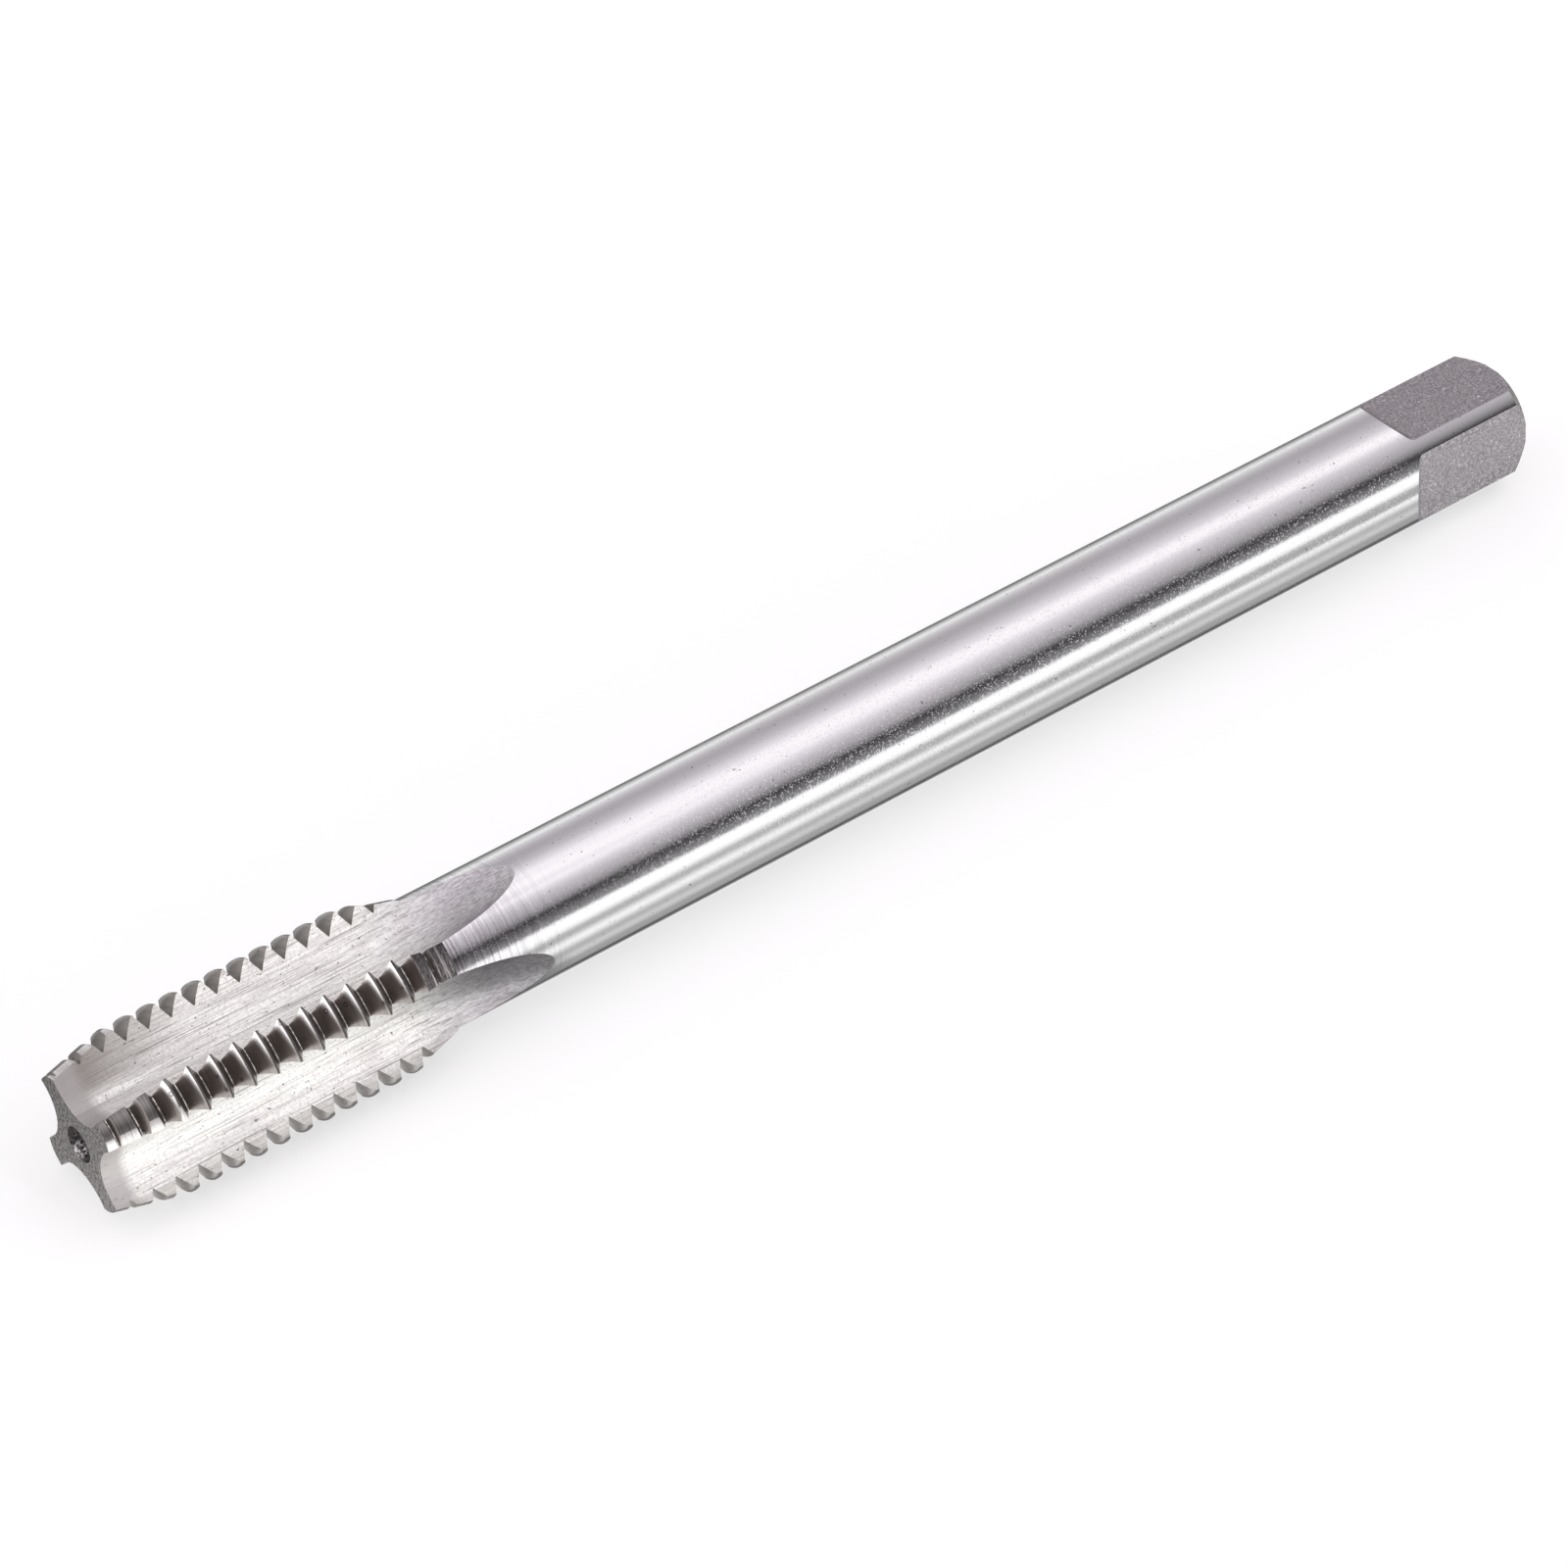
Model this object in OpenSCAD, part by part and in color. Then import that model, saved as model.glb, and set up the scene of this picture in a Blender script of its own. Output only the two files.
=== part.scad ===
// Long hand tap with four straight flutes, ground from one bar of high-speed steel.
// The axis runs along +X, from the cutting end at X = 0 to the drive end.
// Angles round the axis are right-handed about +X and start at +Z, so the four lands stand
// at 45 degrees and the tap lies on the edges of the two lower ones.

/* [Overall] */
// Overall length, end face to end face
overall_l = 160; // [120:1:200]
// Diameter of the plain shank
shank_d = 12.5; // [12.2:0.05:12.6]

/* [Thread] */
// Diameter over the thread crests
major_d = 15.98; // [15.9:0.01:16.1]
// Threads per inch of length
threads_per_inch = 11; // [11:1:12]
// Angle between the two flanks of a thread
thread_angle = 60; // [58:1:60]
// Length of the threaded end, up to the shoulder on the shank
thread_l = 35; // [32:0.5:38]
// Distance of the first crest from the front face, straight above the axis
crest_start = 1.81; // [0.2:0.01:2.2]

/* [Lead] */
// Radius of the lands at the front face, halfway across a land
lead_r = 6.42; // [6.36:0.02:6.6]
// Length of the tapered lead, halfway across a land
lead_l = 6.7; // [5:0.1:9]
// Radius of the lead's rounding across a land, at the front face
lead_round_r = 2.9; // [2.9:0.1:4.5]
// Distance of the crown of that rounding from the middle of a land, toward its cutting edge
lead_crown_y = 0.3; // [0.1:0.05:0.5]

/* [Flutes] */
// Radius of the solid core between the flutes
core_r = 3.35; // [3.2:0.05:3.5]
// Radius of the hooked flute wall in front of a cutting edge
cutting_side_r = 3.55; // [3.45:0.05:3.65]
// Radius of the flute wall behind a heel
heel_side_r = 4.58; // [4.5:0.02:4.7]
// Turn of the deepest line of a flute from the middle of its gap
flute_turn = 3.5; // [3:0.5:4]
// Radius of the wheel that grinds a flute and leaves its run-out
wheel_r = 46; // [42:1:60]
// Where a flute runs out on the shank, from the front face
flute_l = 45; // [43:0.5:48]

/* [Driving square] */
// Distance across the flats
across_flats = 9.85; // [9.7:0.05:10]
// Length of the full square
square_l = 13; // [11:0.5:15]
// Turn of the flats from the axes of the part
square_turn = -4; // [-8:1:8]
// Size of the chamfer round the drive end
end_chamfer = 1.25; // [1:0.05:1.4]

/* [Centre holes] */
// Mouth diameter of the centre hole in the front face
front_centre_d = 3.5; // [3:0.1:4]
// Mouth diameter of the centre hole in the drive end
drive_centre_d = 4.2; // [3.5:0.1:5]

/* [Hidden] */

lands = 4;
land_step = 360 / lands;
major_r = major_d / 2;
shank_r = shank_d / 2;
beyond = 1; // how far a cut passes the surface that it opens

// Thread form, with a narrow crest and a nearly sharp root
pitch = 25.4 / threads_per_inch;
crest_flat = pitch / 12;
root_flat = pitch / 28;
flank_slope = tan(thread_angle / 2);
thread_depth = (pitch - crest_flat - root_flat) / 2 / flank_slope;
root_r = major_r - thread_depth;
lead_angle = atan(pitch / (2 * PI * (major_r + root_r) / 2));
groove_reach = 35; // degrees of arc that a groove is cut on each side of a land's middle

// Back of the thread: a slight taper, a steep one, a gentle one, and a small shoulder
taper_start = thread_l - 5.3;
steep_start = thread_l - 3.9;
gentle_start = thread_l - 2.8;
steep_r = major_r - 0.23;
gentle_r = shank_r + 0.97;
neck_r = shank_r + 0.25;
shoulder_l = 0.4;

// The last grooves get shallower, and stop on the gentle taper
runout_start = thread_l - 2.4;
runout_slope = 0.5;
groove_end = thread_l - 1.5;

// The lead of each land is a cone about an axis of its own, which clears the heel
lead_slope = (major_r - lead_r) / lead_l;
lead_axis_z = lead_r - sqrt(pow(lead_round_r, 2) - pow(lead_crown_y, 2));
lead_reach = 60; // degrees of arc that the cone is cut on each side of a land's middle
heel_angle = 17;
heel_corner = major_r * [sin(heel_angle), cos(heel_angle)];
lead_end_r = norm(heel_corner + [lead_crown_y, -lead_axis_z]);
lead_end = (lead_end_r - lead_round_r) / lead_slope;

// Flute run-out: the wheel's axis stands above the tap, and its rim leaves the shank at flute_l
wheel_axis_r = core_r + wheel_r;
wheel_t = flute_l - sqrt(pow(wheel_r, 2) - pow(wheel_axis_r - shank_r, 2));
wheel_sweep = 26;
flute_top = major_r + 3;

// Driving square: each flat ends in a wall at 45 degrees with a rounded foot
flat_r = across_flats / 2;
square_t = overall_l - square_l;
foot_r = 1.2;
foot_centre = [square_t, flat_r + foot_r];
foot_angle = 45;
end_face_r = shank_r - end_chamfer;

// Centre holes have a 60 degree seat and a drilled pilot with a conical end
centre_half_angle = 30;
pilot_share = 0.46;
pilot_l_share = 1.25;
drill_half_angle = 59;

function groove_t(angle, turn) = crest_start + pitch * (angle / 360 + 0.5 + turn);
function groove_root_r(t) = root_r + runout_slope * max(0, t - runout_start);

// Places a shape that stands on +Z at each land or flute in turn
module round_the_axis(first_angle) {
  for (i = [0 : lands - 1])
    rotate([first_angle + i * land_step, 0, 0]) children();
}

// Turns a profile about X; it is drawn as radius against distance along the axis
module turned(angle = 360) {
  rotate([0, 90, 0])
    rotate([0, 0, 180 - angle / 2])
      rotate_extrude(angle = angle, $fn = 180) children();
}

module blank() {
  turned() polygon([
    [0, 0],
    [major_r, 0],
    [major_r, taper_start],
    [steep_r, steep_start],
    [gentle_r, gentle_start],
    [neck_r, thread_l],
    [shank_r, thread_l + shoulder_l],
    [shank_r, overall_l - end_chamfer],
    [end_face_r, overall_l],
    [0, overall_l]
  ]);
}

// One flute's section: a tight arc on the cutting side and an easy one on the heel side,
// tangent to each other at the deepest point, with straight sides above their centres
module flute_section() {
  cutting_y = core_r + cutting_side_r;
  heel_y = core_r + heel_side_r;
  intersection() {
    translate([0, cutting_y]) circle(r = cutting_side_r, $fn = 96);
    translate([-2 * cutting_side_r, 0]) square([2 * cutting_side_r, cutting_y]);
  }
  intersection() {
    translate([0, heel_y]) circle(r = heel_side_r, $fn = 96);
    square([2 * heel_side_r, heel_y]);
  }
  translate([-cutting_side_r, cutting_y])
    square([cutting_side_r, flute_top - cutting_y]);
  translate([0, heel_y])
    square([heel_side_r, flute_top - heel_y]);
}

module flute() {
  translate([-beyond, 0, 0])
    rotate([90, 0, 90])
      linear_extrude(wheel_t + beyond) flute_section();
  translate([wheel_t, 0, wheel_axis_r])
    rotate([90, 90, 0])
      rotate_extrude(angle = wheel_sweep, $fn = 360)
        translate([wheel_axis_r, 0]) mirror([1, 1]) flute_section();
}

// One turn of the thread across one land: a ring of the thread form, leaned by the lead angle
module thread_groove(t) {
  r = groove_root_r(t);
  top = major_r + beyond / 2;
  half_root = root_flat / 2;
  half_top = half_root + (top - r) * flank_slope;
  translate([t, 0, 0])
    rotate([0, 0, lead_angle])
      turned(2 * groove_reach)
        polygon([[r, -half_root], [top, -half_top], [top, half_top], [r, half_root]]);
}

module thread_grooves() {
  for (i = [0 : lands - 1], turn = [-4 : ceil(thread_l / pitch)]) {
    angle = (i + 0.5) * land_step;
    t = groove_t(angle, turn);
    if (t > 0 && t < groove_end)
      rotate([angle, 0, 0]) thread_groove(t);
  }
}

// The metal that the lead grinding takes off one land
module lead_waste() {
  outer_r = lead_end_r + beyond;
  translate([0, lead_crown_y, lead_axis_z])
    turned(2 * lead_reach)
      polygon([
        [lead_round_r - beyond * lead_slope, -beyond],
        [outer_r, -beyond],
        [outer_r, lead_end],
        [lead_end_r, lead_end]
      ]);
}

// The metal above one flat of the driving square
module square_waste() {
  top = shank_r + beyond;
  tail = overall_l + beyond;
  foot_edge = foot_centre + foot_r * [-sin(foot_angle), -cos(foot_angle)];
  wall_top = [foot_edge[0] - (top - foot_edge[1]), top];
  translate([0, shank_r + beyond, 0])
    rotate([90, 0, 0])
      linear_extrude(2 * (shank_r + beyond)) {
        translate(foot_centre) circle(r = foot_r, $fn = 64);
        polygon([
          [foot_centre[0], flat_r], [tail, flat_r], [tail, top],
          wall_top, foot_edge, foot_centre
        ]);
      }
}

module centre_hole(mouth_d) {
  pilot_r = pilot_share * mouth_d / 2;
  seat_l = (mouth_d / 2 - pilot_r) / tan(centre_half_angle);
  pilot_l = seat_l + pilot_l_share * 2 * pilot_r;
  mouth_r = mouth_d / 2 + beyond * tan(centre_half_angle);
  turned() polygon([
    [0, -beyond],
    [mouth_r, -beyond],
    [pilot_r, seat_l],
    [pilot_r, pilot_l],
    [0, pilot_l + pilot_r / tan(drill_half_angle)]
  ]);
}

module tap() {
  color([0.74, 0.73, 0.75])
    difference() {
      difference() {
        blank();
        round_the_axis(flute_turn) flute();
        round_the_axis(square_turn) square_waste();
        centre_hole(front_centre_d);
        translate([overall_l, 0, 0]) rotate([0, 180, 0]) centre_hole(drive_centre_d);
      }
      round_the_axis(land_step / 2) lead_waste();
      thread_grooves();
    }
}

tap();
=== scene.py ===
import math
import bpy
from mathutils import Matrix, Vector


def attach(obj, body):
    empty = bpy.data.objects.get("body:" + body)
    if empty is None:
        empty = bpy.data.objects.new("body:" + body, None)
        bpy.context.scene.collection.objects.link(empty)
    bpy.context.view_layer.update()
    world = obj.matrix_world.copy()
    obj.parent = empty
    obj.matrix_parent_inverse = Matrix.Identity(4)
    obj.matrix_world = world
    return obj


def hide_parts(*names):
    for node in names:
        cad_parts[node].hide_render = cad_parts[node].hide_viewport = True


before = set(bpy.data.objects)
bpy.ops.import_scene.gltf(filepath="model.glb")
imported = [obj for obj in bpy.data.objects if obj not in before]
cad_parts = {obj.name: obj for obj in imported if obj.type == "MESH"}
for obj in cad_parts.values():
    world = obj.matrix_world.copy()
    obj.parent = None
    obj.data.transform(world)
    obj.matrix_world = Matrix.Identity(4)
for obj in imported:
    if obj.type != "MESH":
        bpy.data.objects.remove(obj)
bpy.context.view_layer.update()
mm = 0.001

# The camera stands in front of the cutting end, to its left and well above it, as it did for
# the photograph. A long lens keeps the far end of the tap nearly as large as the near one.
camera_data = bpy.data.cameras.new("camera")
camera_data.lens = 142.98
camera_data.sensor_width = 36
camera_data.clip_start = 0.02
camera = bpy.data.objects.new("camera", camera_data)
camera.location = (-0.1734, -0.3348, 0.3719)
camera.rotation_euler = [math.radians(a) for a in (48.19823807, 0.89327739, -37.35330492)]
bpy.context.scene.collection.objects.link(camera)
bpy.context.scene.camera = camera
bpy.context.scene.view_settings.view_transform = "Standard"

# The bar that the tap is made from: high-speed steel, turned to its steps, hardened, and ground
# between centres. The shank is ground fine and bright, so it mirrors the room in long bands,
# and the wheel leaves thin rings round it.

# Nothing is left selected, so that each step of the modelling changes the new shape alone
for thing in bpy.context.selected_objects:
    thing.select_set(False)


def linear(code):
    # A hex colour as the linear values that a material takes
    parts = [int(code[i:i + 2], 16) / 255 for i in (1, 3, 5)]
    return tuple(p / 12.92 if p <= 0.04045 else ((p + 0.055) / 1.055) ** 2.4 for p in parts) + (1,)


def add_node(tree, kind, settings=None, links=None):
    # Settings are values of inputs or properties of the node; links are what feeds its inputs
    node = tree.nodes.new(kind)
    for name, value in (settings or {}).items():
        if isinstance(name, int) or name in node.inputs:
            node.inputs[name].default_value = value
        else:
            setattr(node, name, value)
    for name, source in (links or {}).items():
        tree.links.new(source, node.inputs[name])
    return node


def new_finish(name, colour, roughness):
    material = bpy.data.materials.new(name)
    material.use_nodes = True
    shader = material.node_tree.nodes["Principled BSDF"]
    shader.inputs["Base Color"].default_value = linear(colour)
    shader.inputs["Metallic"].default_value = 1
    shader.inputs["Roughness"].default_value = roughness
    return material, material.node_tree, shader


def position(tree):
    # Where a point of the tap is, in metres
    return add_node(tree, "ShaderNodeTexCoord").outputs["Object"]


def axes_of(tree, vector):
    return add_node(tree, "ShaderNodeSeparateXYZ", links={"Vector": vector}).outputs


def grain(tree, scale, detail=2, roughness=0.5):
    # The three scales are how often the grain repeats in a metre along X, Y and Z
    stretch = add_node(tree, "ShaderNodeMapping", {"Scale": scale}, {"Vector": position(tree)})
    return add_node(tree, "ShaderNodeTexNoise",
                    {"Scale": 1, "Detail": detail, "Roughness": roughness},
                    {"Vector": stretch.outputs["Vector"]}).outputs["Fac"]


def spread(tree, value, low, high, to_low, to_high):
    # Goes from one result to another while the value goes from low to high
    return add_node(tree, "ShaderNodeMapRange",
                    {"From Min": low, "From Max": high, "To Min": to_low, "To Max": to_high},
                    {"Value": value}).outputs["Result"]


def times(tree, first, second):
    return add_node(tree, "ShaderNodeMath", {"operation": "MULTIPLY"},
                    {0: first, 1: second}).outputs[0]


def mix_colours(tree, factor, first, second):
    node = add_node(tree, "ShaderNodeMix", {"data_type": "RGBA"}, {0: factor})
    for socket, colour in ((6, first), (7, second)):
        if isinstance(colour, str):
            node.inputs[socket].default_value = linear(colour)
        else:
            tree.links.new(colour, node.inputs[socket])
    return node.outputs[2]


def veil(tree, pattern, low, high, share, under, over):
    # Lays a colour over another where the pattern is above low, up to the share from high on
    return mix_colours(tree, spread(tree, pattern, low, high, 0, share), under, over)


def bump(tree, height, depth, base=None):
    # Raises the surface by the depth in metres where the height is 1; base is a bump under it
    node = add_node(tree, "ShaderNodeBump", {"Strength": 1, "Distance": depth}, {"Height": height})
    if base:
        tree.links.new(base, node.inputs["Normal"])
    return node.outputs["Normal"]


# Cylindrical grinding leaves rings a few hundredths of a millimetre apart; they are drawn 0.2 mm
# apart, so that they show as thin lines across the mirrored bands. Dark specks are strewn over it.
ground_shank, tree, shader = new_finish("fine_ground_steel", "#C8C8C9", 0.09)
along = axes_of(tree, position(tree))["X"]
rings = grain(tree, (5000, 60, 60), 4, 0.6)
specks = grain(tree, (2600, 2600, 2600), 2, 0.5)
shade = veil(tree, specks, 0.70, 0.76, 1, "#C8C8C9", "#6A666C")

# Close to the thread, coarser streaks run round the shank and break the bands up
streaks = grain(tree, (3400, 90, 90), 4, 0.75)
streaked = veil(tree, streaks, 0.36, 0.64, 1, "#8E8A8E", "#DEDCDE")
fade = spread(tree, along, 0.036, 0.048, 0.8, 0)
tree.links.new(mix_colours(tree, fade, shade, streaked), shader.inputs["Base Color"])

# Dull grains between the rings sparkle in the dark band and fray its edges. They are drawn 0.2 mm
# wide, several times their real size, and get weaker toward the thread and at the square.
grit = grain(tree, (5600, 5200, 5200), 1, 0.5)
grains = times(tree, spread(tree, grit, 0.51, 0.66, 0, 0.18),
               spread(tree, along, 0.143, 0.147, 1, 0.2))
grains = times(tree, grains, spread(tree, along, 0.048, 0.068, 0.35, 1))
dull = add_node(tree, "ShaderNodeMath", {"operation": "ADD"},
                {0: spread(tree, rings, 0.3, 0.7, 0.06, 0.12), 1: grains}).outputs[0]
tree.links.new(dull, shader.inputs["Roughness"])
tree.links.new(bump(tree, grit, 0.000003, bump(tree, rings, 0.0000015)), shader.inputs["Normal"])

# The narrow tops of the threads are painted dark: painted shade, standing in for the dark that
# polished crests mirror; their rings are drawn 0.1 mm apart, coarser than the real ones
painted_shade_crest, tree, shader = new_finish("painted_shade_crest_steel", "#545050", 0.3)
rings = grain(tree, (9000, 90, 90), 3, 0.6)
tree.links.new(veil(tree, rings, 0.3, 0.7, 1, "#474342", "#625E5C"), shader.inputs["Base Color"])
tree.links.new(bump(tree, rings, 0.000002), shader.inputs["Normal"])

# Behind the thread the bar keeps the grain of the hardening salt bath, and looks sooty: dark pits,
# drawn 0.3 mm wide where real ones are a tenth of that, with pale rings from turning among them
thread_back, tree, shader = new_finish("dark_grained_steel", "#6A666A", 0.42)
pits = grain(tree, (5200, 2800, 2800), 4, 0.7)
rings = grain(tree, (3200, 120, 120), 3, 0.6)
shade = veil(tree, pits, 0.35, 0.65, 1, "#242222", "#5C5858")
shade = veil(tree, rings, 0.58, 0.68, 0.6, shade, "#A29E9E")
tree.links.new(shade, shader.inputs["Base Color"])
tree.links.new(bump(tree, pits, 0.00005), shader.inputs["Normal"])

# The end faces are faced off and left a little rough, so they are a flat grey that mirrors
# nothing; their grain is drawn 0.3 mm wide, coarser than the real one
end_face, tree, shader = new_finish("matt_faced_steel", "#8A8786", 0.45)
pits = grain(tree, (3400, 3400, 3400), 2, 0.7)
tree.links.new(veil(tree, pits, 0.38, 0.62, 1, "#504D4C", "#A5A19F"), shader.inputs["Base Color"])
tree.links.new(bump(tree, pits, 0.00004), shader.inputs["Normal"])


def turn_bar(name, stations, vertices=360):
    # A disc at the first station, extruded and scaled through the others; each is (x, radius)
    x, radius = stations[0]
    bpy.ops.mesh.primitive_circle_add(vertices=vertices, radius=radius * mm, fill_type="NGON",
                                      location=(x * mm, 0, 0), rotation=(0, math.radians(90), 0))
    bar = bpy.context.object
    bar.name = name
    bpy.ops.object.transform_apply()
    bpy.ops.object.mode_set(mode="EDIT")
    bpy.ops.mesh.select_all(action="SELECT")
    for next_x, next_radius in stations[1:]:
        bpy.ops.mesh.extrude_region_move(
            TRANSFORM_OT_translate={"value": ((next_x - x) * mm, 0, 0)})
        grow = next_radius / radius
        bpy.ops.transform.resize(value=(1, grow, grow), center_override=(next_x * mm, 0, 0))
        x, radius = next_x, next_radius
    bpy.ops.mesh.select_all(action="SELECT")
    bpy.ops.mesh.normals_make_consistent(inside=False)
    bpy.ops.object.mode_set(mode="OBJECT")
    return bar


# Behind the crests the bar comes down to the shank in two tapers and a small shoulder
major_r, shank_r = 7.99, 6.25
crests_end, thread_end, chamfer_start, overall_l = 29.7, 35.4, 158.75, 160
tap = turn_bar("tap_steel", [(0, major_r), (crests_end, major_r), (31.1, 7.76), (32.2, 7.22),
                             (35, 6.5), (thread_end, shank_r), (chamfer_start, shank_r),
                             (overall_l, 5)])
finishes = [ground_shank, painted_shade_crest, thread_back, end_face]
for finish in finishes:
    tap.data.materials.append(finish)
for face in tap.data.polygons:
    x = face.center.x / mm
    if x < 0.01 or x > chamfer_start:
        face.material_index = finishes.index(end_face)
    elif x < crests_end:
        face.material_index = finishes.index(painted_shade_crest)
    elif x < thread_end:
        face.material_index = finishes.index(thread_back)


# The four straight flutes carry the chips away. A formed wheel grinds them into the hardened bar
# and lifts out behind the thread, so each ends in a pointed run-out. Their walls are polished
# along their length, and are the brightest part of the tap.


def land_angle(tree):
    # How far round its own quarter of the tap a point is, in degrees; a land's middle is at 45
    axes = axes_of(tree, position(tree))
    turn = add_node(tree, "ShaderNodeMath", {"operation": "ARCTAN2"}, {0: axes["Y"], 1: axes["Z"]})
    degrees = add_node(tree, "ShaderNodeMath", {"operation": "MULTIPLY", 1: -180 / math.pi},
                       {0: turn.outputs[0]})
    return add_node(tree, "ShaderNodeMath", {"operation": "FLOORED_MODULO", 1: 90},
                    {0: degrees.outputs[0]}).outputs[0]


def axis_distance(tree):
    # How far a point is from the tap's axis, in metres
    across = add_node(tree, "ShaderNodeMapping", {"Scale": (0, 1, 1)}, {"Vector": position(tree)})
    return add_node(tree, "ShaderNodeVectorMath", {"operation": "LENGTH"},
                    {0: across.outputs["Vector"]}).outputs["Value"]


# The polish leaves bright scratches along the tap, drawn 0.15 mm apart where real ones are closer
# than the eye can part. A grey grit, soft cloudy patches, deep dark scratches and a few pits lie
# over them, so the wall looks worked.
flute_polish, tree, shader = new_finish("brushed_flute_steel", "#DCD9D8", 0.6)
axes = axes_of(tree, position(tree))
scratches = grain(tree, (130, 6400, 6400), 3, 0.7)
grit = grain(tree, (3600, 3600, 3600), 2, 0.6)
clouds = grain(tree, (170, 300, 300), 3, 0.6)
deep = grain(tree, (100, 6400, 6400), 2, 0.6)
pits = grain(tree, (2600, 3600, 3600), 2, 0.5)
shade = veil(tree, scratches, 0.34, 0.56, 1, "#D4D2CF", "#FDFDFA")
shade = veil(tree, grit, 0.45, 0.68, 0.4, shade, "#BAB7B5")
shade = veil(tree, clouds, 0.58, 0.75, 0.3, shade, "#BCB8B7")
shade = veil(tree, deep, 0.6, 0.66, 0.65, shade, "#7A7673")
shade = veil(tree, pits, 0.67, 0.72, 0.9, shade, "#5A5654")

# Where the wheel lifted out, the run-out is smoother and greyer
runout = veil(tree, scratches, 0.36, 0.6, 1, "#A09DA0", "#CAC8CA")
runout = veil(tree, grit, 0.54, 0.66, 0.25, runout, "#8A878A")
shade = veil(tree, axes["X"], 0.031, 0.039, 1, shade, runout)
tree.links.new(spread(tree, axes["X"], 0.033, 0.039, 0.6, 0.38), shader.inputs["Roughness"])

# The wall behind the heel is darker at the mouth of the two flutes on the far side
far_heel_darkening = times(tree, spread(tree, land_angle(tree), 64, 80, 0.8, 0),
              spread(tree, axes["Y"], -0.001, 0.001, 0, 1))
far_heel_darkening = times(tree, far_heel_darkening, spread(tree, axes["X"], 0.003, 0.013, 1, 0))
shade = mix_colours(tree, far_heel_darkening, shade, "#847D77")

# Painted shade: the tips of the two lower rows of teeth are painted greyer, and their edges dark
from_axis = axis_distance(tree)
lower = spread(tree, axes["Z"], -0.001, 0.001, 1, 0)
for start, full, share, colour in ((0.0060, 0.0070, 0.3, "#A8A4A2"),
                                   (0.00765, 0.0079, 0.75, "#454140")):
    painted_tip_shade = times(tree, spread(tree, from_axis, start, full, 0, share), lower)
    shade = mix_colours(tree, painted_tip_shade, shade, colour)

# The mouth of each flute is duller, from the wheel's first touch
mouth = spread(tree, axes["X"], 0.0016, 0.0026, 0.8, 0)
tree.links.new(mix_colours(tree, mouth, shade, "#B2AEAD"), shader.inputs["Base Color"])
tree.links.new(bump(tree, scratches, 0.000006), shader.inputs["Normal"])


def draw_section(name, points, finish):
    # A closed outline through the points, filled, with its face selected for what follows
    bpy.ops.mesh.primitive_plane_add(size=mm, location=(0, 0, 0))
    shape = bpy.context.object
    shape.name = name
    bpy.ops.object.mode_set(mode="EDIT")
    bpy.ops.mesh.select_all(action="SELECT")
    bpy.ops.mesh.merge(type="CENTER")
    here = Vector(points[0]) * mm
    bpy.ops.transform.translate(value=here)
    for point in points[1:]:
        there = Vector(point) * mm
        bpy.ops.mesh.extrude_vertices_move(TRANSFORM_OT_translate={"value": there - here})
        here = there
    bpy.ops.mesh.select_all(action="SELECT")
    bpy.ops.mesh.edge_face_add()
    shape.data.materials.append(finish)
    return shape


def finish_cutter():
    # Its faces are turned outward, as a cut needs
    bpy.ops.mesh.select_all(action="SELECT")
    bpy.ops.mesh.normals_make_consistent(inside=False)
    bpy.ops.object.mode_set(mode="OBJECT")


def cut(piece, cutter, angles=(0,)):
    # Cuts a copy of the cutter out of the piece at each angle round the axis
    for angle in angles:
        copy = bpy.data.objects.new("cut", cutter.data.copy())
        bpy.context.scene.collection.objects.link(copy)
        copy.data.transform(Matrix.Rotation(math.radians(angle), 4, "X"))
        change = piece.modifiers.new("cut", "BOOLEAN")
        change.operation = "DIFFERENCE"
        change.solver = "EXACT"
        change.material_mode = "TRANSFER"
        change.object = copy
        bpy.context.view_layer.objects.active = piece
        bpy.ops.object.modifier_apply(modifier=change.name)
        bpy.data.objects.remove(copy)
    bpy.data.objects.remove(cutter)


def quarter_turns(first):
    return [first + 90 * i for i in range(4)]


def arc(start, sweep, steps):
    # Angles in even steps, from degrees to radians
    return [math.radians(start + sweep * i / steps) for i in range(steps + 1)]


# Each flute's section is a tight arc on the cutting side and an easy one on the heel side; the
# wheel takes it straight back from 1 mm before the front face, then up round its own centre
core_r, cutting_side_r, heel_side_r, wheel_start, wheel_r = 3.35, 3.55, 4.58, 28.93, 46
lead_in, flute_top, wheel_sweep = 1, 11, math.radians(26)
quarter = arc(0, 90, 32)
points = [(-cutting_side_r * math.sin(a), core_r + cutting_side_r * (1 - math.cos(a)))
          for a in reversed(quarter)]
points += [(heel_side_r * math.sin(a), core_r + heel_side_r * (1 - math.cos(a)))
           for a in quarter[1:]]
points += [(heel_side_r, flute_top), (-cutting_side_r, flute_top)]
flute = draw_section("flute", [(-lead_in, y, z) for y, z in points], flute_polish)
bpy.ops.mesh.extrude_region_move(
    TRANSFORM_OT_translate={"value": ((wheel_start + lead_in) * mm, 0, 0)})
bpy.ops.mesh.spin(steps=44, angle=wheel_sweep, axis=(0, 1, 0),
                  center=(wheel_start * mm, 0, (core_r + wheel_r) * mm))
finish_cutter()
cut(tap, flute, quarter_turns(3.5))
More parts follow.
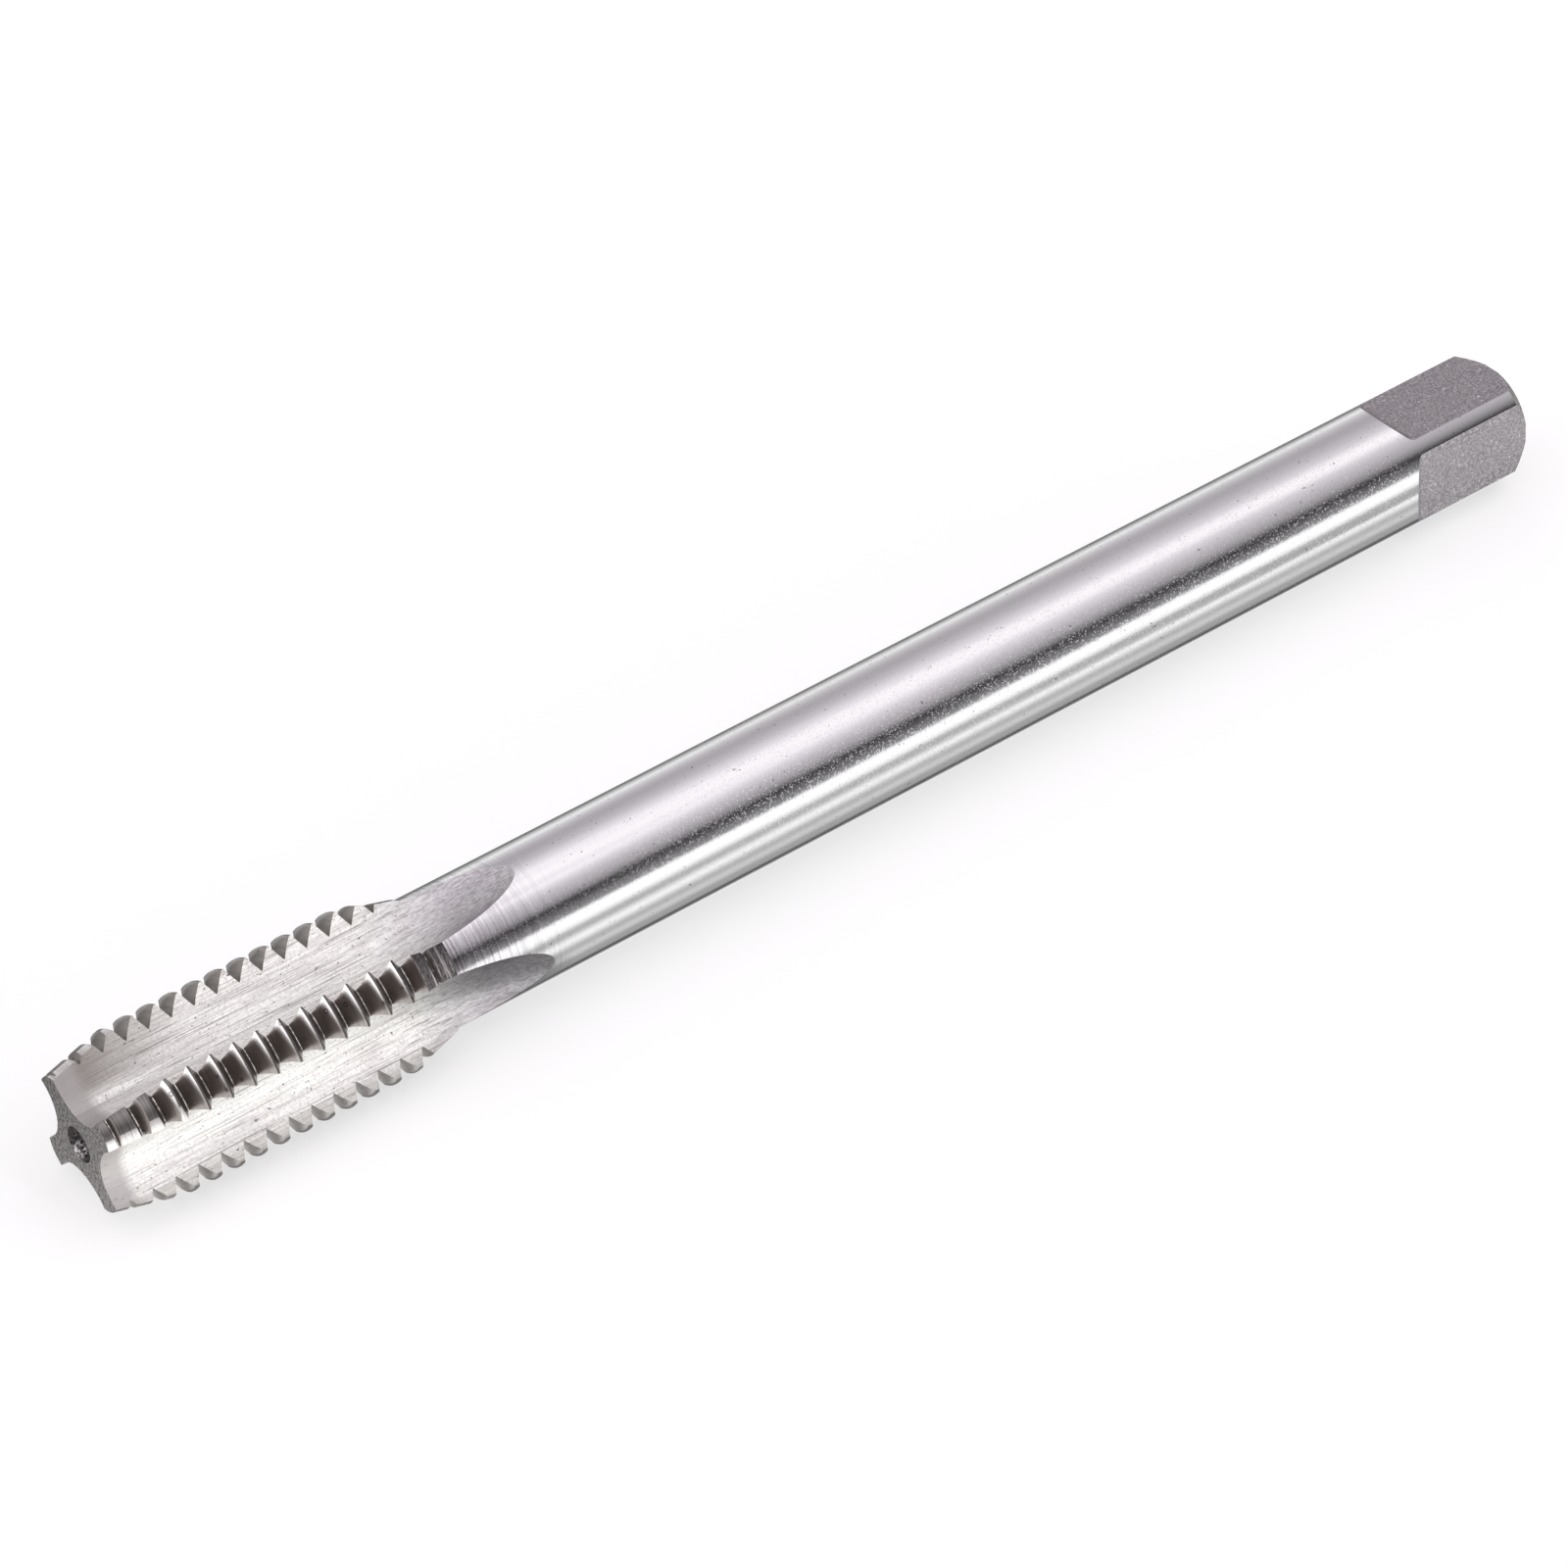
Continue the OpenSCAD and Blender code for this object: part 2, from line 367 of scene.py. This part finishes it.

# The driving square is milled before hardening and blasted to a grey satin. Each flat ends in a
# rounded foot and a wall at 45 degrees where the cutter lifted out. The blast leaves pits, and
# glints are painted among them as bright spots, painted highlights; both are drawn 0.2 mm wide,
# about twice their real size.
blasted_square, tree, shader = new_finish("blasted_steel", "#8F8A90", 0.5)
pits = grain(tree, (4600, 4600, 4600), 3, 0.6)
painted_glints = grain(tree, (4200, 4200, 4200), 1, 0.5)
shade = veil(tree, pits, 0.32, 0.68, 1, "#837F83", "#BCB8BB")
shade = veil(tree, painted_glints, 0.66, 0.74, 0.8, shade, "#F0EEF0")
tree.links.new(shade, shader.inputs["Base Color"])
tree.links.new(bump(tree, pits, 0.00003), shader.inputs["Normal"])

# The cutter for one flat reaches past the bar on every side
flat_r, foot_x, foot_r = 4.925, 147, 1.2
side, top, tail = 9, 8, 162
points = [(foot_x + foot_r * math.cos(a), flat_r + foot_r + foot_r * math.sin(a))
          for a in arc(225, 45, 12)]
wall_x, wall_z = points[0]
points = [(wall_x - (top - wall_z), top)] + points + [(tail, flat_r), (tail, top)]
flat = draw_section("flat", [(x, -side, z) for x, z in points], blasted_square)
bpy.ops.mesh.extrude_region_move(TRANSFORM_OT_translate={"value": (0, 2 * side * mm, 0)})
finish_cutter()
cut(tap, flat, quarter_turns(-4))

# A centre hole in each end holds the tap between centres while it is ground: a 60 degree seat, then
# a drilled pilot. They are dark, in spots drawn 0.4 mm wide, and bright crumbs of metal lie in the
# bottom of the front one.
centre_steel, tree, shader = new_finish("drilled_centre_steel", "#5A565A", 0.5)
pits = grain(tree, (2600, 2600, 2600), 3, 0.6)
shade = veil(tree, pits, 0.36, 0.62, 1, "#262424", "#6A6665")
from_heap = add_node(tree, "ShaderNodeVectorMath",
                     {"operation": "DISTANCE", 1: (0.0003, 0.0006, -0.0013)},
                     {0: position(tree)}).outputs["Value"]
crumbs = times(tree, spread(tree, grain(tree, (3000, 3000, 3000), 2, 0.6), 0.48, 0.56, 0, 1),
               spread(tree, from_heap, 0.0004, 0.0009, 1, 0))
tree.links.new(mix_colours(tree, crumbs, shade, "#E4E2E1"), shader.inputs["Base Color"])
tree.links.new(bump(tree, pits, 0.00015), shader.inputs["Normal"])

seat_slope, drill_slope = math.tan(math.radians(30)), math.tan(math.radians(59))
pilot_share, pilot_l_share, point_r = 0.46, 2.5, 0.01
for end, inward, mouth_r in ((0, 1, 1.75), (overall_l, -1, 2.1)):
    pilot_r = pilot_share * mouth_r
    seat_l = (mouth_r - pilot_r) / seat_slope
    pilot_l = seat_l + pilot_l_share * pilot_r
    stations = [(-1, mouth_r + seat_slope), (seat_l, pilot_r), (pilot_l, pilot_r),
                (pilot_l + pilot_r / drill_slope, point_r)]
    hole = turn_bar("hole", [(end + inward * x, r) for x, r in stations], 72)
    hole.data.materials.append(centre_steel)
    cut(tap, hole)

# The lead: the first three threads of each land are ground to a taper that clears its heel, so that
# only their front edges cut. The wheel leaves a fine grey grain across them, drawn 0.2 mm apart,
# coarser than it is. The wheel meets the heel at another slant; the heel is painted bright, a
# painted reflection, and the rest of each land is painted dark, painted shade.
lead_relief, tree, shader = new_finish("ground_lead_steel", "#8E8B8F", 0.3)
rings = grain(tree, (4500, 140, 140), 4, 0.65)
shade = veil(tree, rings, 0.3, 0.7, 1, "#55524F", "#9A9694")
heel = veil(tree, rings, 0.3, 0.6, 1, "#B4B0AE", "#E0DDDB")
tree.links.new(veil(tree, land_angle(tree), 49.5, 50.5, 1, shade, heel),
               shader.inputs["Base Color"])
tree.links.new(bump(tree, rings, 0.000006), shader.inputs["Normal"])

# The cutter is a cone about an axis of its own, from 1 mm before the front face to the heel
crown_y, axis_z, round_r, lead_slope = 0.3, 3.536, 2.9, 0.2343
heel_angle, reach = math.radians(17), math.radians(60)
heel_r = math.hypot(major_r * math.sin(heel_angle) + crown_y,
                    major_r * math.cos(heel_angle) - axis_z)
outer_r = heel_r + 1
lead_end = (heel_r - round_r) / lead_slope
section = [(-1, round_r - lead_slope), (lead_end, heel_r), (lead_end, outer_r), (-1, outer_r)]
lead = draw_section("lead", [(x, crown_y - r * math.sin(reach), axis_z + r * math.cos(reach))
                             for x, r in section], lead_relief)
bpy.ops.mesh.spin(steps=64, angle=2 * reach, axis=(1, 0, 0),
                  center=(0, crown_y * mm, axis_z * mm))
finish_cutter()
cut(tap, lead, quarter_turns(45))

# The thread: a right-hand coarse inch thread, ground with a ribbed wheel, so its flanks are
# smooth and its crests narrow. Old cutting oil leaves them brownish.
thread_flank, tree, shader = new_finish("ground_thread_flank", "#C2BCB8", 0.3)
rings = grain(tree, (7000, 120, 120), 4, 0.65)
shade = veil(tree, rings, 0.3, 0.7, 1, "#98918D", "#B6AFAB")

# Wear has rounded each flank toward its crest, and the flank is painted brighter there, a painted
# highlight, less so toward the heel. On the lower lands the painted highlight is weaker, and the
# edge of the crest is painted dark, painted shade.
from_axis = axis_distance(tree)
height = axes_of(tree, position(tree))["Z"]
toward_crest = add_node(tree, "ShaderNodeMath", {"operation": "MULTIPLY_ADD", 1: -0.00003},
                        {0: land_angle(tree), 2: from_axis}).outputs[0]
painted_crest_highlight = add_node(tree, "ShaderNodeMapRange",
                {"interpolation_type": "SMOOTHSTEP", "From Min": 0.0061, "From Max": 0.0067},
                {"Value": toward_crest}).outputs["Result"]
painted_crest_highlight = times(tree, painted_crest_highlight, spread(tree, height, -0.001, 0.001, 0.5, 1))
shade = mix_colours(tree, painted_crest_highlight, shade, "#EEECEB")
rim = times(tree, spread(tree, from_axis, 0.0077, 0.00785, 0, 0.85),
            spread(tree, height, -0.001, 0.001, 1, 0))
shade = mix_colours(tree, rim, shade, "#454140")
rounding = add_node(tree, "ShaderNodeMath", {"operation": "POWER", 1: 2},
                    {0: spread(tree, toward_crest, 0.0062, 0.0073, 0, 1)}).outputs[0]
tree.links.new(bump(tree, rounding, -0.00016, bump(tree, rings, 0.000002)),
               shader.inputs["Normal"])

# Here and there a crumb of metal sits in a drop of oil
drops = add_node(tree, "ShaderNodeTexVoronoi", {"Scale": 620},
                 {"Vector": position(tree)}).outputs["Distance"]
shade = mix_colours(tree, spread(tree, drops, 0.1, 0.2, 0.75, 0), shade, "#3A3533")
shade = mix_colours(tree, spread(tree, drops, 0.05, 0.075, 1, 0), shade, "#FFFFFF")
tree.links.new(shade, shader.inputs["Base Color"])

# The flanks that face the shank are painted darker than the others: painted shade; their rings,
# like those of the other flanks, are drawn 0.15 mm apart, coarser than the real ones
painted_shade_flank, tree, shader = new_finish("painted_shade_thread_flank", "#7C7672", 0.35)
rings = grain(tree, (7000, 120, 120), 4, 0.65)
tree.links.new(veil(tree, rings, 0.3, 0.7, 1, "#645F5C", "#7A7571"), shader.inputs["Base Color"])
tree.links.new(bump(tree, rings, 0.000002), shader.inputs["Normal"])

# A burnished line is left in the bottom of the groove, broken by grit drawn 0.3 mm wide
thread_root, tree, shader = new_finish("burnished_thread_root", "#E6E4E3", 0.3)
grit = grain(tree, (3600, 3600, 3600), 3, 0.7)
tree.links.new(veil(tree, grit, 0.42, 0.6, 1, "#5E5A58", "#CFCBC9"), shader.inputs["Base Color"])

# The cutter's section is the groove between two crests, screwed along the axis. It starts two and
# a half turns before the first crest.
pitch, root_r, top_r, first_crest = 25.4 / 11, 6.228, 8.08, 1.81
turn_count, steps_per_turn = 17, 180
half_root = pitch / 56
half_top = half_root + (top_r - root_r) * math.tan(math.radians(30))
start_x = first_crest + pitch * (0.5 - 3)
thread = draw_section("thread", [(start_x - half_root, 0, root_r), (start_x + half_root, 0, root_r),
                                 (start_x + half_top, 0, top_r), (start_x - half_top, 0, top_r)],
                      thread_flank)
bpy.ops.mesh.delete(type="ONLY_FACE")
bpy.ops.object.mode_set(mode="OBJECT")
turns = thread.modifiers.new("turns", "SCREW")
turns.axis = "X"
turns.angle = math.radians(360)
turns.screw_offset = pitch * mm
turns.iterations = turn_count
turns.steps = turns.render_steps = steps_per_turn
turns.use_merge_vertices = False
bpy.context.view_layer.objects.active = thread
bpy.ops.object.modifier_apply(modifier=turns.name)

# The groove's wall on the drive side is the flank that faces the cutting end
walls = [thread_flank, painted_shade_flank, thread_root]
for wall in walls[1:]:
    thread.data.materials.append(wall)
for face in thread.data.polygons:
    turn = (math.degrees(math.atan2(-face.center.y, face.center.z)) % 360) / 360
    beside = (face.center.x / mm - start_x) / pitch - turn
    if math.hypot(face.center.y, face.center.z) < (root_r + 0.1) * mm:
        wall = thread_root
    elif beside - round(beside) > 0:
        wall = thread_flank
    else:
        wall = painted_shade_flank
    face.material_index = walls.index(wall)

# The last turns get shallower, as the wheel left the tap while it turned
runout_start, runout_slope = 32.6, 0.5
for vertex in thread.data.vertices:
    past = vertex.co.x - runout_start * mm
    if past > 0:
        radius = math.hypot(vertex.co.y, vertex.co.z)
        vertex.co.y *= 1 + runout_slope * past / radius
        vertex.co.z *= 1 + runout_slope * past / radius

# Both open ends of the cutter are closed before it cuts
bpy.ops.object.mode_set(mode="EDIT")
bpy.ops.mesh.select_mode(type="EDGE")
bpy.ops.mesh.select_all(action="DESELECT")
bpy.ops.mesh.select_non_manifold()
bpy.ops.mesh.edge_face_add()
bpy.ops.mesh.select_mode(type="VERT")
finish_cutter()
cut(tap, thread)

# The cuts leave some corners twice; these are merged, and splitting the faces into triangles keeps
# the mesh closed where long ones meet along a bent edge. Each ground surface is shaded smooth, and
# every edge between two of them stays sharp.
same_place = 0.0000005
bpy.ops.object.select_all(action="DESELECT")
tap.select_set(True)
bpy.context.view_layer.objects.active = tap
bpy.ops.object.mode_set(mode="EDIT")
bpy.ops.mesh.select_all(action="SELECT")
bpy.ops.mesh.remove_doubles(threshold=same_place)
bpy.ops.mesh.dissolve_degenerate(threshold=same_place)
bpy.ops.mesh.quads_convert_to_tris(quad_method="BEAUTY", ngon_method="BEAUTY")
bpy.ops.object.mode_set(mode="OBJECT")
bpy.ops.object.shade_smooth_by_angle(angle=math.radians(12))
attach(tap, "root")
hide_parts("tap")

# The table: a wide white sheet under the tap, which leans a third of a degree so that the tap
# lies on the edges of two lands and the end of its shank. It looks white to the camera.
bpy.ops.mesh.primitive_plane_add(size=6, location=(0.0297, 0, -0.00693),
                                 rotation=(0, math.radians(-0.332), 0))
table = bpy.context.object
table.name = "table"
white_sheet = bpy.data.materials.new("white_sheet")
white_sheet.use_nodes = True
tree = white_sheet.node_tree
shader = tree.nodes["Principled BSDF"]
shader.inputs["Base Color"].default_value = linear("#BCBCBC")
shader.inputs["Roughness"].default_value = 0.9
shader.inputs["Specular IOR Level"].default_value = 0
shader.inputs["Emission Color"].default_value = (1, 1, 1, 1)

# To mirrored rays the sheet glows, a painted reflection: bands of painted light and shade along it,
# and a painted shadow close beside the tap. Each stop is a distance from the tap's axis in
# millimetres, minus on the camera's side, and how bright polished steel looks that mirrors it; of
# the light that falls on it, the steel gives back the mirrored share. Distances are squeezed into
# the band of stops, with 20 mm halfway to its end, and past the last stops it is bright.
stops = [(-300, 1.05), (-100, 0.95), (-62, 0.78), (-45, 0.54), (-34, 0.42), (-27.5, 0.48),
         (-23, 0.7), (-20, 0.88), (-17.5, 0.93), (-15.5, 0.78), (-13.5, 0.52), (-12, 0.43),
         (-11, 0.48), (-9.5, 0.6), (-8.5, 0.52), (-7.5, 0.34), (-6, 0.32), (-5.2, 0.08),
         (-4.5, 0.08), (-4, 0.25), (-3, 0.6), (12, 0.4), (18, 0.3), (24, 0.13), (31, 0.14),
         (45, 0.3), (60, 0.42), (90, 0.54), (300, 0.66)]
mirrored_share, strength, halfway, far_glow = 0.58, 2, 20, 0.9
here = add_node(tree, "ShaderNodeNewGeometry").outputs["Position"]
axes = axes_of(tree, here)
outward = add_node(tree, "ShaderNodeMath", {"operation": "ABSOLUTE"}, {0: axes["Y"]})
outward = add_node(tree, "ShaderNodeMath", {"operation": "ADD", 1: halfway * mm},
                   {0: outward.outputs[0]})
squeezed = add_node(tree, "ShaderNodeMath", {"operation": "DIVIDE"},
                    {0: axes["Y"], 1: outward.outputs[0]}).outputs[0]
ramp = add_node(tree, "ShaderNodeValToRGB", links={"Fac": spread(tree, squeezed, -1, 1, 0, 1)})
band = ramp.color_ramp
for distance, level in stops:
    element = band.elements.new(0.5 + 0.5 * distance / (abs(distance) + halfway))
    element.color = [level / mirrored_share / strength] * 3 + [1]
for edge in (band.elements[0], band.elements[-1]):
    edge.color = [far_glow] * 3 + [1]


def area(tree, axes, edges):
    # Full inside all the edges; each is an axis, the place where it starts and where it is full
    share = None
    for axis, start, full in edges:
        low, high, ends = (start, full, (0, 1)) if full > start else (full, start, (1, 0))
        edge = spread(tree, axes[axis], low, high, *ends)
        share = edge if share is None else times(tree, share, edge)
    return share


# Patches of painted light and shade on the sheet, seen only in the steel, edges in metres: a grey
# one close in front of the thread for the lower teeth, a bright one farther out for the lower
# flute, a dull one past the thread for the run-outs, and a dull strip toward the square, which
# softens the bands there
glow = ramp.outputs["Color"]
for edges, colour in (
        ((("X", -0.012, -0.006), ("X", 0.036, 0.031),
          ("Y", -0.0035, -0.0055), ("Y", -0.026, -0.016)), "#AAAAAA"),
        ((("X", -0.08, -0.05), ("X", 0.035, 0.030),
          ("Y", -0.007, -0.009), ("Y", -0.3, -0.2)), "#F4F4F4"),
        ((("X", 0.030, 0.034), ("X", 0.050, 0.046), ("Y", -0.0045, -0.006)), "#747474"),
        ((("X", 0.08, 0.15), ("Y", -0.019, -0.022), ("Y", -0.06, -0.03)), "#9C9C9C")):
    glow = mix_colours(tree, area(tree, axes, edges), glow, colour)
mirrored = add_node(tree, "ShaderNodeEmission", {"Strength": strength}, {"Color": glow})
path = add_node(tree, "ShaderNodeLightPath").outputs
tree.links.new(spread(tree, path["Is Camera Ray"], 0, 1, 0, 0.56),
               shader.inputs["Emission Strength"])
choice = add_node(tree, "ShaderNodeMixShader", links={0: path["Is Glossy Ray"],
                                                      1: shader.outputs[0], 2: mirrored.outputs[0]})
tree.links.new(choice.outputs[0], tree.nodes["Material Output"].inputs["Surface"])
table.data.materials.append(white_sheet)

# The room: soft light from a white tent. Its brightness changes with height, and the tap mirrors
# that as long bands; the side behind the tap is more even than the side in front of it.
world = bpy.data.worlds.new("white_tent")
bpy.context.scene.world = world
world.use_nodes = True
tree = world.node_tree
tree.nodes.clear()
heading = add_node(tree, "ShaderNodeTexCoord").outputs["Generated"]
axes = axes_of(tree, heading)


def tent_side(tree, height, stops):
    # Each stop is an elevation in degrees and how bright polished steel looks that mirrors it;
    # from 15 degrees up the cloth is a little pink
    ramp = add_node(tree, "ShaderNodeValToRGB", links={"Fac": spread(tree, height, -1, 1, 0, 1)})
    band = ramp.color_ramp
    for elevation, level in stops:
        element = band.elements.new(0.5 + 0.5 * math.sin(math.radians(elevation)))
        value = level / mirrored_share / strength
        tint = 0.985 if elevation < 15 else 0.95
        element.color = (value, value * tint, value, 1)
    for edge, stop in ((band.elements[0], band.elements[1]),
                       (band.elements[-1], band.elements[-2])):
        edge.color = stop.color
    return ramp.outputs["Color"]


front = tent_side(tree, axes["Z"], [
    (0, 1.08), (8, 1.08), (10, 0.75), (12.5, 0.26), (21, 0.13), (28, 0.05), (31, 0.05),
    (36, 0.22), (42, 0.37), (50, 0.5), (57, 0.69), (60, 0.86), (62, 0.97), (68, 0.62),
    (80, 0.5)])
back = tent_side(tree, axes["Z"], [
    (0, 0.73), (4, 0.73), (10, 0.58), (17, 0.49), (24, 0.41), (30, 0.385), (37, 0.42),
    (47, 0.52), (54, 0.68), (58, 0.79), (60, 0.88), (62, 0.97), (68, 0.62), (80, 0.5)])
behind = spread(tree, axes["Y"], -0.15, 0.15, 0, 1)
light = mix_colours(tree, behind, front, back)

# Panels hang in the tent, each with its edges as parts of a direction and its brightness: a strip
# high above the tap for the shank's long highlight, a bright one off the cutting end for the
# threads, two in front toward the drive end for the lower flute, a dull one in front for the
# lower run-out, and two dark ones behind that keep the upper flute and its run-out grey
for edges, level in (
        ((("X", 0.18, 0.33), ("Y", -0.2, -0.03), ("Y", 0.25, 0.08), ("Z", 0.6, 0.8)), 0.84),
        ((("X", -0.45, -0.75), ("Y", -0.45, -0.1), ("Y", 0.6, 0.35), ("Z", 0.5, 0.3)), 1.1),
        ((("X", 0.62, 0.78), ("Y", -0.1, -0.35), ("Z", 0.4, 0.22)), 3.3),
        ((("X", 0.17, 0.23), ("X", 0.33, 0.28), ("Y", -0.25, -0.4)), 2.0),
        ((("X", -0.35, -0.25), ("X", 0.13, 0.05), ("Y", -0.4, -0.6), ("Z", 0.45, 0.3)), 0.32),
        ((("X", 0.58, 0.68), ("Y", -0.1, 0.1)), 0.15),
        ((("X", 0.3, 0.2), ("X", -0.3, -0.1), ("Y", 0.05, 0.2)), 0.38)):
    panel = add_node(tree, "ShaderNodeMix",
                     {"data_type": "RGBA", 7: (level, level * 0.965, level * 0.985, 1)},
                     {0: area(tree, axes, edges), 6: light})
    light = panel.outputs[2]
tent = add_node(tree, "ShaderNodeBackground", {"Strength": strength}, {"Color": light})
plain = add_node(tree, "ShaderNodeBackground", {"Strength": 1, "Color": (1, 1, 1, 1)})
path = add_node(tree, "ShaderNodeLightPath").outputs
choice = add_node(tree, "ShaderNodeMixShader", links={0: path["Is Camera Ray"],
                                                      1: tent.outputs[0], 2: plain.outputs[0]})
add_node(tree, "ShaderNodeOutputWorld", links={"Surface": choice.outputs[0]})
